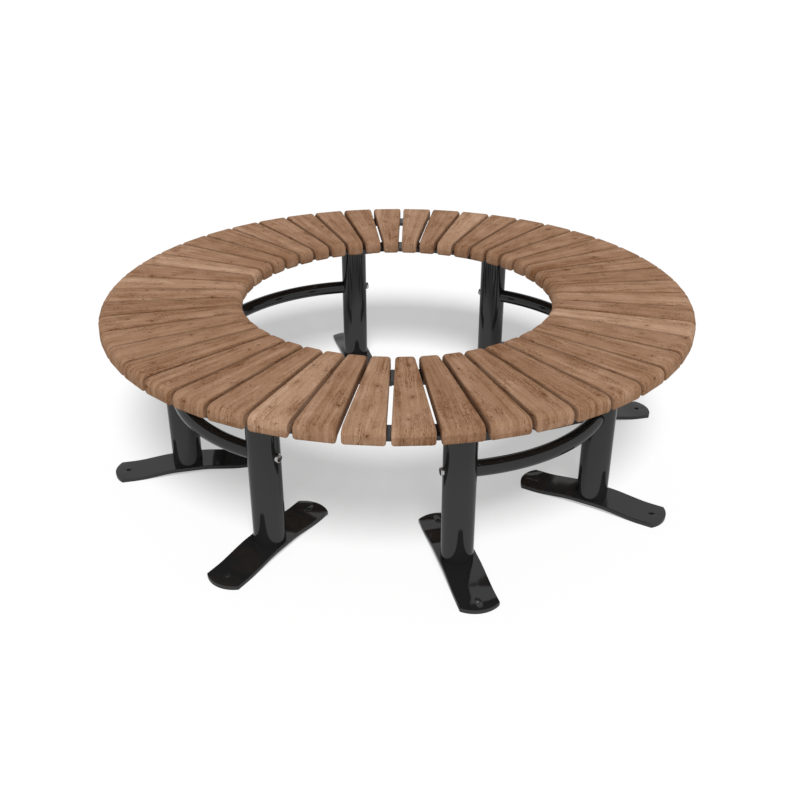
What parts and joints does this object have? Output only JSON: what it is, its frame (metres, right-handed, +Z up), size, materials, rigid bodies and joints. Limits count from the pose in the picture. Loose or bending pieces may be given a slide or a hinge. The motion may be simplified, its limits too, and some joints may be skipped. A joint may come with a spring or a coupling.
{
  "type": "tree bench",
  "caption": "Round bench that encircles a tree trunk: radial hardwood slats on ring rails, carried by round steel posts with braces and cranked foot plates.",
  "frame": {"origin": "on the ground, on the axis of the ring, under the centre of the hole for the tree", "axes": "+Z up; the four quarters of the bench meet on the X and Y axes, and the posts stand 22.5 degrees either side of them"},
  "size_m": [1.4986, 1.4986, 0.45],
  "materials": {
    "timber": "oiled brown hardwood, planed, rounded edges",
    "painted_steel": "gloss black coating",
    "stainless": "plain stainless"
  },
  "bodies": {
    "root": {"brace_screws": "stainless", "brace_tube_1": "painted_steel", "brace_tube_2": "painted_steel", "brace_tube_3": "painted_steel", "brace_tube_4": "painted_steel", "foot_plates": "painted_steel", "inner_rails": "painted_steel", "outer_rails": "painted_steel", "posts": "painted_steel", "slats_01": "timber", "slats_02": "timber", "slats_03": "timber", "slats_04": "timber", "slats_05": "timber", "slats_06": "timber", "slats_07": "timber", "slats_08": "timber", "slats_09": "timber", "slats_10": "timber", "slats_11": "timber", "slats_12": "timber", "slats_13": "timber", "slats_14": "timber", "slats_15": "timber", "slats_16": "timber", "splice_plate_1": "painted_steel", "splice_plate_2": "painted_steel", "splice_plate_3": "painted_steel", "splice_plate_4": "painted_steel", "support_arm_1": "painted_steel", "support_arm_2": "painted_steel", "support_arm_3": "painted_steel", "support_arm_4": "painted_steel", "support_arm_5": "painted_steel", "support_arm_6": "painted_steel", "support_arm_7": "painted_steel", "support_arm_8": "painted_steel"}
  },
  "joints": []
}
